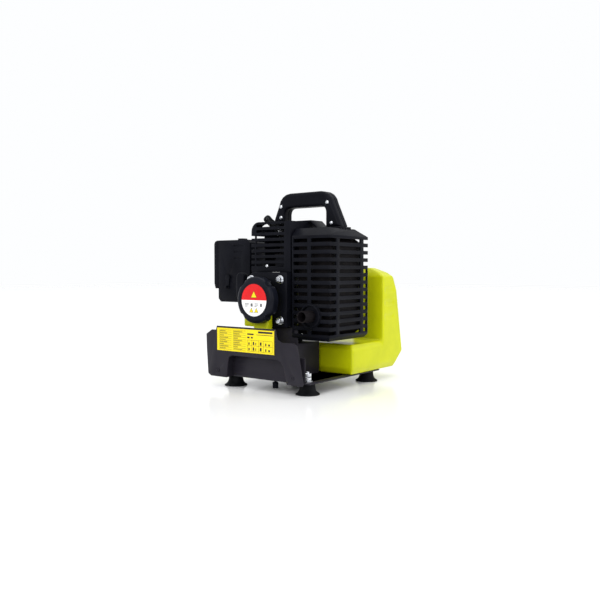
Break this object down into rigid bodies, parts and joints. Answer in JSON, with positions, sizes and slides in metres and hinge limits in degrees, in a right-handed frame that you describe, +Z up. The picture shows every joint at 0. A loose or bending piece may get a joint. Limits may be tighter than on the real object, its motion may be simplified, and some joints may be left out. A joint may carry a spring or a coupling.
{
  "type": "portable fire pump",
  "caption": "Portable petrol-engine fire pump on a sheet-steel tray with rubber feet, slotted muffler guard, moulded fuel tank and carrying handle.",
  "frame": {"origin": "on the ground under the middle of the whole machine", "axes": "+X right along the front plate towards the muffler guard, +Y back from the front plate to the pump, +Z up"},
  "size_m": [0.297, 0.3068, 0.336],
  "materials": {
    "black_plastic": "satin",
    "black_steel": "satin",
    "rubber": "matte",
    "zinc_steel": "polished",
    "cast_aluminium": "cast",
    "dark_metal": "heat darkened",
    "lime_plastic": "satin",
    "yellow_film": "gloss",
    "foam": "open cell",
    "phenolic": "matte",
    "red_plastic": "satin",
    "amber_rubber": "satin",
    "cord_braid": "woven"
  },
  "bodies": {
    "frame": {"base_tray": "black_steel", "carburettor": "cast_aluminium", "crank_bearing_front": "zinc_steel", "crank_bearing_rear": "zinc_steel", "crankcase": "cast_aluminium", "cylinder": "cast_aluminium", "data_plate": "yellow_film", "engine_cover": "black_plastic", "engine_isolator_left": "rubber", "engine_isolator_right": "rubber", "engine_mount": "black_steel", "exhaust_pipe": "dark_metal", "fan_housing": "black_plastic", "filter_element": "foam", "filter_housing": "black_plastic", "foot_1": "rubber", "foot_2": "rubber", "foot_3": "rubber", "foot_4": "rubber", "foot_stud_1": "zinc_steel", "foot_stud_2": "zinc_steel", "foot_stud_3": "zinc_steel", "foot_stud_4": "zinc_steel", "front_plate": "black_steel", "fuel_line": "rubber", "fuel_tank": "lime_plastic", "handle_base": "black_plastic", "handle_front": "black_plastic", "handle_rear": "black_plastic", "housing_bolt_1": "zinc_steel", "housing_bolt_2": "zinc_steel", "housing_bolt_3": "zinc_steel", "housing_bolt_4": "zinc_steel", "ignition_coil": "black_plastic", "ignition_lead": "rubber", "intake_insulator": "phenolic", "muffler": "dark_metal", "muffler_guard": "black_plastic", "piston": "zinc_steel", "plug_boot": "rubber", "pump_backplate": "cast_aluminium", "pump_volute": "cast_aluminium", "recoil_spring": "zinc_steel", "shaft_seal": "rubber", "spark_plug": "zinc_steel"},
    "cap_gasket": {"cap_gasket": "rubber"},
    "fuel_cap": {"fuel_cap": "black_plastic"},
    "starter_grip": {"starter_grip": "black_plastic", "starter_rope": "cord_braid"},
    "recoil_pulley": {"recoil_pulley": "black_plastic"},
    "crank": {"crankshaft": "dark_metal", "flywheel": "cast_aluminium", "impeller": "cast_aluminium"},
    "choke_lever": {"choke_lever": "black_plastic"},
    "throttle_lever": {"throttle_lever": "zinc_steel"},
    "primer_bulb": {"primer_bulb": "amber_rubber"},
    "stop_button": {"stop_button": "red_plastic"},
    "filter_lid": {"filter_lid": "black_plastic"},
    "priming_plug": {"priming_plug": "black_plastic"},
    "drain_knob": {"drain_knob": "black_plastic"}
  },
  "joints": [
    {"name": "cap_lift", "type": "slide", "parent": "frame", "child": "cap_gasket", "axis": [0, -1, 0], "range_m": [0, 0.0046]},
    {"name": "cap_turn", "type": "hinge", "parent": "cap_gasket", "child": "fuel_cap", "pos_m": [0.025, -0.1243, 0.1495], "axis": [0, -1, 0], "range_deg": [0, 540]},
    {"name": "starter_pull", "type": "slide", "parent": "frame", "child": "starter_grip", "axis": [-1, 0, 0], "range_m": [0, 0.5], "stiffness_N_per_m": 20},
    {"name": "pulley_turn", "type": "hinge", "parent": "frame", "child": "recoil_pulley", "pos_m": [0.025, -0.0896, 0.1495], "axis": [0, -1, 0], "range_deg": [0, 1300]},
    {"name": "crank_turn", "type": "hinge", "parent": "frame", "child": "crank", "pos_m": [0.025, 0, 0.1495], "axis": [0, 1, 0], "continuous": true},
    {"name": "choke_turn", "type": "hinge", "parent": "frame", "child": "choke_lever", "pos_m": [-0.1115, -0.0486, 0.186], "axis": [0, -1, 0], "range_deg": [0, 75]},
    {"name": "throttle_turn", "type": "hinge", "parent": "frame", "child": "throttle_lever", "pos_m": [-0.038, -0.005, 0.168], "axis": [0, -1, 0], "range_deg": [0, 70]},
    {"name": "primer_press", "type": "slide", "parent": "frame", "child": "primer_bulb", "axis": [0, 1, 0], "range_m": [0, 0.004], "stiffness_N_per_m": 300},
    {"name": "stop_press", "type": "slide", "parent": "frame", "child": "stop_button", "axis": [1, 0, 0], "range_m": [0, 0.0025], "stiffness_N_per_m": 300},
    {"name": "lid_open", "type": "hinge", "parent": "frame", "child": "filter_lid", "pos_m": [-0.1375, -0.016, 0.165], "axis": [0, -1, 0], "range_deg": [0, 80]},
    {"name": "priming_turn", "type": "hinge", "parent": "frame", "child": "priming_plug", "pos_m": [0.041, 0.0374, 0.2018], "axis": [0, 0, 1], "range_deg": [0, 360]},
    {"name": "drain_turn", "type": "hinge", "parent": "frame", "child": "drain_knob", "pos_m": [0.0585, -0.1166, 0.01], "axis": [0, 0, 1], "range_deg": [0, 360]}
  ],
  "couplings": [
    {"joint": "cap_lift", "follows": "cap_turn", "m_per_rad": 0.00047746},
    {"joint": "pulley_turn", "follows": "starter_pull", "rad_per_m": 45.147}
  ]
}
